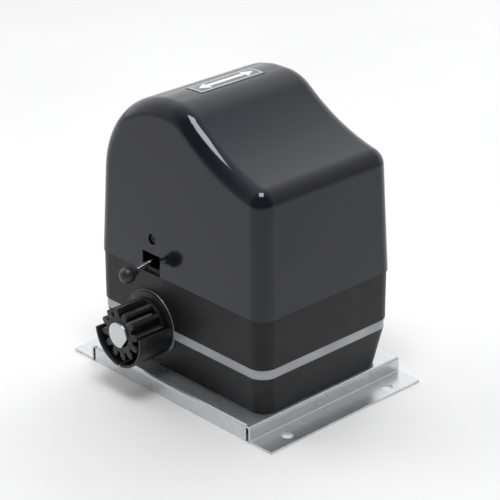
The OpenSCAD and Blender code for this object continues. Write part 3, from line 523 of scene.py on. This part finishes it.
def cover_skin(inset):
    """All rings of the cover, from the +Y side over the top to the -Y side."""
    rows, steps = wave(inset), 14
    turns = [math.pi / 2 * k / steps for k in range(steps + 1)]
    return ([wave_ring(rows, inset, 1, t) for t in reversed(turns)]
            + [wave_ring(rows, inset, -1, t) for t in turns])


def cover_shell():
    """The outer and inner skins, joined along the open foot."""
    outer, inner = cover_skin(0.0), cover_skin(WALL)
    m, n = len(outer[0]), len(outer)
    verts = [p for ring in outer + inner for p in ring]
    shift = n * m
    faces = []
    for i in range(n - 1):
        for j in range(m - 1):
            a = i * m + j
            faces.append((a, a + m, a + m + 1, a + 1))
            faces.append((shift + a, shift + a + 1, shift + a + m + 1, shift + a + m))
    for first in (0, (n - 1) * m):
        row = list(range(first, first + m))
        faces.append(tuple(row if first == 0 else reversed(row)))
        row = [v + shift for v in row]
        faces.append(tuple(reversed(row) if first == 0 else row))
    foot = [i * m for i in range(n)] + [i * m + m - 1 for i in reversed(range(n))]
    for a, b in zip(foot, foot[1:] + foot[:1]):
        faces.append((a, b, b + shift, a + shift))
    return tidy(made("cover_shell", verts, faces))


def make_cover():
    """The shell with a screw boss and its recess on each side, and the slot for the lever."""
    boss_r, recess_r, screw_r = 8.0, 5.5, 2.8
    boss_depth, boss_skin, recess_depth, screw_depth = 9, 1.2, 6, 12
    shell = cover_shell()
    y = side_y(COVER_SCREW_Z)

    def across(radius, side, start, end, steps=96):
        """A bar along Y at one cover screw, from start to end."""
        first, last = ((COVER_SCREW_X, side * out, COVER_SCREW_Z) for out in (start, end))
        return rod(radius, first, last, steps)

    cut(shell, [across(boss_r, s, y - boss_depth, y - boss_skin) for s in (-1, 1)], "UNION")
    slot_back, slot_front = -80, -120
    holes = [box((LEVER_X - SLOT_HALF, slot_front, SEAM_Z - 1), (LEVER_X + SLOT_HALF, slot_back, SLOT_TOP))]
    for s in (-1, 1):
        holes.append(across(recess_r, s, y - recess_depth, y + recess_depth))
        holes.append(across(screw_r, s, y - screw_depth, y, 48))
    cut(shell, holes)
    soften(shell, 0.6, 3, 40)
    finish_mesh(shell, "cover", ["top_cover"], "gloss_cover", smooth=28)


# ---------- the two black housings ----------

# How far a cutter runs past the open end of a housing
CUT_PAST = 0.01


def boss_hole():
    """The bore through the front walls for the gearbox boss on the output shaft's axis."""
    gap, front, back = 0.3, -110, -70
    return rod(BOSS_R + gap, (AXIS_X, front, AXIS_Z), (AXIS_X, back, AXIS_Z), 128)


def make_middle_housing():
    """A wall with an inner rim that centres the cover, and ears for the housing screws."""
    corner_r, rim_corner_r, ear_r, screw_r, release_bore_r = 18, 12.8, 8.5, 2.75, 5.3
    under_ear, ear_top, over_ear = BAND_TOP - 1, BAND_TOP + 8, BAND_TOP + 11
    outside = [(BAND_TOP, 246.8, 185.3), (SEAM_Z - 0.5, 246.4, 185.4)]
    inside = [(BAND_TOP - CUT_PAST, 240.8, 179.3), (SEAM_Z, 240.4, 179.4)]
    rim_outside = [(z, 240.8, 179.8) for z in (118.0, 130.0)]
    rim_inside = [(z, 236.4, 175.4) for z in (117.0, 131.0)]

    shell = rounded_block("middle_housing_shell", outside, corner_r)
    cut(shell, [rounded_block("cutter", inside, corner_r - WALL)])
    rim = rounded_block("cutter", rim_outside, corner_r - WALL)
    cut(rim, [rounded_block("cutter", rim_inside, rim_corner_r)])
    ears = [rod(ear_r, (x, y, BAND_TOP), (x, y, ear_top)) for x, y in HOUSING_SCREWS]
    cut(shell, [rim, *ears], "UNION")
    holes = [rod(screw_r, (x, y, under_ear), (x, y, over_ear), 48) for x, y in HOUSING_SCREWS]
    holes.append(boss_hole())
    holes.append(rod(release_bore_r, (RELEASE_X, 80, RELEASE_Z), (RELEASE_X, 100, RELEASE_Z), 64))
    cut(shell, holes)
    soften(shell, 0.5, 2, 40)
    finish_mesh(shell, "base", ["middle_housing"], "black_housing")


def make_lower_housing():
    """A tray that narrows towards the plate, with a rounded foot and bores in its floor."""
    low, top = (232.0, 166.4), (244.6, 183.1)
    foot_r, foot_steps, floor_top, gland_r = 1.6, 5, 22.0, 12.6
    under_floor, over_floor = PLATE_Z - 1, floor_top + 1

    def at(z, shrink=0.0, radius=17):
        """The outline at a height, drawn in by shrink."""
        t = (z - PLATE_Z) / (BAND_Z - PLATE_Z)
        l, w = (a + (b - a) * t - 2 * shrink for a, b in zip(low, top))
        return rounded_ring(l, w, radius - shrink, z)

    rounded = [(PLATE_Z + foot_r * (1 - math.cos(a)), foot_r * (1 - math.sin(a)))
               for a in [math.pi / 2 * k / foot_steps for k in range(foot_steps + 1)]]
    shell = tidy(loft("lower_housing_shell", [at(z, s) for z, s in rounded] + [at(BAND_Z)]))
    holes = [tidy(loft("cutter", [at(floor_top, WALL), at(BAND_Z + CUT_PAST, WALL)]))]
    holes += [rod(COLUMN_BORE_R, (x, y, under_floor), (x, y, over_floor), 48) for x, y in COLUMNS]
    holes.append(rod(gland_r, (CABLE_X, CABLE_Y, under_floor), (CABLE_X, CABLE_Y, over_floor)))
    holes.append(boss_hole())
    cut(shell, holes)
    soften(shell, 0.5, 2, 40)
    finish_mesh(shell, "base", ["lower_housing"], "black_housing")


# ---------- the folded base plate ----------

BEND_STEPS = 8


def bend(centre, radius, start, end):
    """The points of one bend, with its angles in degrees."""
    points = []
    for k in range(BEND_STEPS + 1):
        a = math.radians(start + (end - start) * k / BEND_STEPS)
        points.append((centre[0] + radius * math.cos(a), centre[1] + radius * math.sin(a)))
    return points


def extruded(name, outline, along, low, high):
    """A solid whose outline in X and Z runs along Y, or whose outline in Y and Z runs along X."""
    m = len(outline)
    if along == "y":
        verts = [(x, y, z) for y in (low, high) for x, z in outline]
    else:
        verts = [(x, y, z) for x in (low, high) for y, z in outline]
    faces = [tuple(range(m)), tuple(reversed(range(m, 2 * m)))]
    faces += [(j, j + m, (j + 1) % m + m, (j + 1) % m) for j in range(m)]
    return tidy(made(name, verts, faces))


def make_plate():
    """One sheet folded down and out at both ends, with its sides folded down, all with bend radii."""
    half_l, half_w, sheet, inner = 121.5, 107.0, 2.5, 1.2
    outer = inner + sheet
    foot_end, side_half = half_l + 29.5, half_l - 6
    foot_hole_r, foot_hole_x, foot_hole_y, gland_hole_r = 6.0, 138, 72, 20.0
    # Heights that a cutter runs between, through a foot and through the raised middle
    foot_low, foot_high, middle_low, middle_high = -2, 5, 10, 30

    # The ends: down from the raised middle, then out into the feet
    fold_in, fold_out = (half_l - outer, PLATE_Z - outer), (half_l + inner, sheet + inner)
    top_side = bend(fold_in, outer, 90, 0) + bend(fold_out, inner, 180, 270)
    low_side = bend(fold_out, outer, 270, 180) + bend(fold_in, inner, 0, 90)
    half = top_side + [(foot_end, sheet), (foot_end, 0.0)] + low_side
    outline = half + [(-x, z) for x, z in reversed(half)]
    plate = extruded("base_plate_sheet", outline, "y", -half_w, half_w)

    # The sides: the flat stretch of each edge gives way to a strip that bends down
    strips, trims, middle = [], [], half_w - outer
    for s in (-1, 1):
        strip = [(s * half_w, 0.0)]
        strip += [(s * y, z) for y, z in bend((middle, PLATE_Z - outer), outer, 0, 90)]
        strip.append((s * middle, PLATE_Z - sheet))
        strip += [(s * y, z) for y, z in bend((middle, PLATE_Z - outer), inner, 90, 0)]
        strip.append((s * (half_w - sheet), 0.0))
        strips.append(extruded("cutter", strip, "x", -side_half, side_half))
        near, far = sorted((s * middle, s * (half_w + 1)))
        trims.append(box((-side_half, near, middle_low), (side_half, far, middle_high)))
    cut(plate, trims)
    cut(plate, strips, "UNION")

    holes = [rod(foot_hole_r, (x, y, foot_low), (x, y, foot_high), 64)
             for x in (-foot_hole_x, foot_hole_x) for y in (-foot_hole_y, foot_hole_y)]
    holes += [rod(COLUMN_BORE_R, (x, y, middle_low), (x, y, middle_high), 48) for x, y in COLUMNS]
    holes.append(rod(gland_hole_r, (CABLE_X, CABLE_Y, middle_low), (CABLE_X, CABLE_Y, middle_high)))
    cut(plate, holes)
    soften(plate, 0.3, 2, 50)
    finish_mesh(plate, "base", ["base_plate"], "galvanised_sheet")


# ---------- the limit lever ----------

LEVER_DIR = Vector((0, -math.cos(LEVER_DROP), -math.sin(LEVER_DROP)))
KNOB = Vector((LEVER_X, KNOB_Y, KNOB_Z))


def make_lever():
    """A chromed rod with a rounded hub on the pivot, and a dog that works the switches."""
    rod_r, hub_r, pin_bore_r, end_gap = 3.0, 6.0, 2.55, 3
    hub_low, hub_high, bore_low, bore_high = 136.5, 148, 130, 160
    dog_half, dog_reach, dog_low, dog_high = 1.5, 8, 137, 142
    run = -KNOB_Y + PIVOT_Y
    z = KNOB_Z + run * math.tan(LEVER_DROP)
    reach = run / math.cos(LEVER_DROP)
    profile = [[rod_r, 0], [rod_r, reach - end_gap]]
    lever = turned("limit_lever_rod", profile, (LEVER_X, PIVOT_Y, z), LEVER_DIR)
    hub = rod(hub_r, (LEVER_X, PIVOT_Y, hub_low), (LEVER_X, PIVOT_Y, hub_high))
    dog = box((LEVER_X - dog_half, PIVOT_Y, dog_low), (LEVER_X + dog_half, PIVOT_Y + dog_reach, dog_high))
    cut(lever, [hub, dog], "UNION")
    cut(lever, [rod(pin_bore_r, (LEVER_X, PIVOT_Y, bore_low), (LEVER_X, PIVOT_Y, bore_high), 48)])
    soften(lever, 0.4, 2, 40)
    finish_mesh(lever, "lever", ["limit_lever"], "chrome_rod")


def make_knob():
    """A ball with a short collar, bored for the lever's rod."""
    ball_r, half_turn, last_step = 8.5, 30, 24
    bore_r, bore_start, bore_end = 3.02, 3, 20
    collar = [[4.9, 7.2], [4.75, 8.3], [4.7, 11.2], [4.3, 11.5]]
    profile = [[0.0, -ball_r]]
    for k in range(1, last_step + 1):
        a = math.pi * k / half_turn
        profile.append([ball_r * math.sin(a), -ball_r * math.cos(a)])
    ball = turned("lever_ball", profile + collar, KNOB, -LEVER_DIR, 64)
    cut(ball, [rod(bore_r, KNOB - LEVER_DIR * bore_start, KNOB - LEVER_DIR * bore_end, 64)])
    soften(ball, 0.25, 2, 50)
    finish_mesh(ball, "lever", ["lever_knob"], "black_knob")


# ---------- the label ----------

def crest_height(x):
    """The top of the cover, along the back radius and the flat of the crest."""
    cx, cz = back_centre()
    return cz + math.sqrt(BACK_R ** 2 - (x - cx) ** 2) if x < cx else CREST_Z


def on_crest(name, pieces, low, high):
    """Flat shapes on the crest: each is a box in x and y, cut fine enough to follow the curve."""
    step_length = 1.5
    verts, faces = [], []
    for x0, x1, y0, y1 in pieces:
        steps = max(1, int((x1 - x0) / step_length))
        first = len(verts)
        for i in range(steps + 1):
            x = x0 + (x1 - x0) * i / steps
            for y in (y0, y1):
                verts += [(x, y, crest_height(x) + low), (x, y, crest_height(x) + high)]
        for i in range(steps):
            a = first + 4 * i
            faces += [(a + 1, a + 5, a + 7, a + 3), (a, a + 2, a + 6, a + 4),
                      (a, a + 4, a + 5, a + 1), (a + 2, a + 3, a + 7, a + 6)]
        faces.append((first, first + 1, first + 3, first + 2))
        last = first + 4 * steps
        faces.append((last, last + 2, last + 3, last + 1))
    return tidy(made(name, verts, faces))


def border(x0, x1, y0, y1, line):
    """The four boxes of a border line."""
    return [(x0, x1, y0, y0 + line), (x0, x1, y1 - line, y1),
            (x0, x0 + line, y0, y1), (x1 - line, x1, y0, y1)]


def two_way_arrow(middle, low, high):
    """The boxes of a plain arrow along Y: its heads are stepped wedges, and its shaft joins them."""
    head_length, head_half, shaft_half, steps = 12.0, 7.5, 2.6, 12
    boxes = []
    for k in range(steps):
        half = head_half * (k + 0.5) / steps
        near, far = head_length * k / steps, head_length * (k + 1) / steps
        boxes.append((middle - half, middle + half, low + near, low + far))
        boxes.append((middle - half, middle + half, high - far, high - near))
    boxes.append((middle - shaft_half, middle + shaft_half, low + head_length, high - head_length))
    return boxes


def make_label():
    """A dark plate over the crest, with a pale border line and a plain arrow in place of a name."""
    x0, x1, y0, y1 = -42.0, -18.0, -40.0, 47.0
    plate_top, sign_low, sign_top = 0.55, 0.5, 0.59
    line, gap, tip_gap = 0.8, 1.8, 7

    body = on_crest("label_plate", [(x0, x1, y0, y1)], 0.0, plate_top)
    soften(body, 0.25, 2, 40)
    finish_mesh(body, "cover", ["cover_label"], "label_film")

    ink = border(x0 + gap, x1 - gap, y0 + gap, y1 - gap, line)
    ink += two_way_arrow((x0 + x1) / 2, y0 + tip_gap, y1 - tip_gap)
    sign = on_crest("label_sign", ink, sign_low, sign_top)
    finish_mesh(sign, "cover", material=LABEL_INK)


# ---------- everything else keeps its CAD shape ----------

def dress_cad_nodes():
    """Each CAD node gets its slot's material and welded seams, and most get softened edges."""
    # The thread and the coil are made of small facets, which softening would spoil
    faceted = {"worm_shaft", "lever_spring"}
    edge_width = 0.25
    wider = {"pinion": 0.7, "pinion_guard": 0.4, "output_shaft": 0.8, "gearbox_body": 0.5,
             "release_handle": 1.0, "relays": 0.6, "terminal_blocks": 0.4, "capacitor": 0.8,
             "transformer_core": 0.4, "motor_end_bell": 0.8, "motor_casing": 0.5}
    for name, obj in frame["nodes"].items():
        obj.data.materials.clear()
        obj.data.materials.append(MATERIALS[SLOT_OF[name]])
        weld = obj.modifiers.new("weld", "WELD")
        weld.merge_threshold = 1e-6
        if name not in faceted:
            flat = obj.modifiers.new("flat", "DECIMATE")
            flat.decimate_type = "DISSOLVE"
            flat.angle_limit = math.radians(0.5)
            edge = obj.modifiers.new("edge", "BEVEL")
            edge.width = wider.get(name, edge_width) * MM
            edge.segments = 2
            edge.limit_method = "ANGLE"
            edge.angle_limit = math.radians(40)
        for polygon in obj.data.polygons:
            polygon.use_smooth = True


make_cover()
make_middle_housing()
make_lower_housing()
make_plate()
make_lever()
make_knob()
make_label()
dress_cad_nodes()


# ---------- studio ----------

def make_stage():
    """A plain pale floor."""
    mesh = bpy.data.meshes.new("floor")
    size = 30.0
    corners = [(-size, -size, 0), (size, -size, 0), (size, size, 0), (-size, size, 0)]
    mesh.from_pydata(corners, [], [(0, 1, 2, 3)])
    floor = bpy.data.objects.new("floor", mesh)
    bpy.context.scene.collection.objects.link(floor)
    n = Nodes("pale_floor")
    tone = n.mix(n.remap(n.noise(3, 3), 0, 1), (0.84, 0.84, 0.845), (0.88, 0.88, 0.885))
    n.link(tone, n.shader.inputs["Base Color"])
    n.link(n.remap(n.noise(8, 3), 0.55, 0.7), n.shader.inputs["Roughness"])
    floor.data.materials.append(n.mat)


def make_light(name, where, look, size, power, mirrored=True):
    """A softbox; a fill light isn't mirrored, so that it lights the scene without a reflection."""
    data = bpy.data.lights.new(name, "AREA")
    data.shape = "RECTANGLE"
    data.size, data.size_y = size
    data.energy = power
    light = bpy.data.objects.new(name, data)
    light.visible_glossy = mirrored
    light.location = where
    light.rotation_mode = "QUATERNION"
    light.rotation_quaternion = (Vector(look) - Vector(where)).to_track_quat("-Z", "Y")
    bpy.context.scene.collection.objects.link(light)


def make_camera():
    """A long lens at the photograph's viewing angle, with its distances in metres."""
    elevation, distance, aim = math.radians(24.8961), 2.07737, Vector((-0.01593, 0.02344, 0.1215))
    back = Vector((math.sin(CAMERA_AZIMUTH) * math.cos(elevation),
                   -math.cos(CAMERA_AZIMUTH) * math.cos(elevation), math.sin(elevation)))
    data = bpy.data.cameras.new("camera")
    data.lens, data.sensor_width = 143.72, 36.0
    camera = bpy.data.objects.new("camera", data)
    camera.location = aim + back * distance
    camera.rotation_mode = "QUATERNION"
    camera.rotation_quaternion = (-back).to_track_quat("-Z", "Y")
    bpy.context.scene.collection.objects.link(camera)
    bpy.context.scene.camera = camera


def make_world():
    """A studio that is white behind the object and darkens evenly towards the camera's side."""
    world = bpy.data.worlds.new("studio")
    bpy.context.scene.world = world
    world.use_nodes = True
    tree = world.node_tree
    coords = tree.nodes.new("ShaderNodeTexCoord")
    dot = tree.nodes.new("ShaderNodeVectorMath")
    dot.operation = "DOT_PRODUCT"
    dot.inputs[1].default_value = (-math.sin(CAMERA_AZIMUTH), math.cos(CAMERA_AZIMUTH), 0.0)
    tree.links.new(coords.outputs["Generated"], dot.inputs[0])
    spread = tree.nodes.new("ShaderNodeMapRange")
    dark_until, bright_from, dark, bright = -0.4, 0.6, 0.1, 1.25
    set_range(spread, dark_until, bright_from, dark, bright)
    tree.links.new(dot.outputs["Value"], spread.inputs["Value"])
    tree.links.new(spread.outputs["Result"], tree.nodes["Background"].inputs["Strength"])
    tree.nodes["Background"].inputs["Color"].default_value = (1.0, 1.0, 1.0, 1.0)


bpy.context.scene.view_settings.view_transform = "Standard"
make_world()
make_stage()
make_camera()
make_light("top_box", (0.32, -0.28, 1.7), (0, 0, 0.2), (0.62, 0.62), 13)
make_light("left_fill", (-1.3, -0.6, 1.5), (-0.2, -0.2, 0.0), (1.0, 1.0), 6, mirrored=False)
make_light("back_fill", (-0.6, 1.9, 1.9), (-0.6, 1.2, 0.0), (1.4, 1.4), 16, mirrored=False)
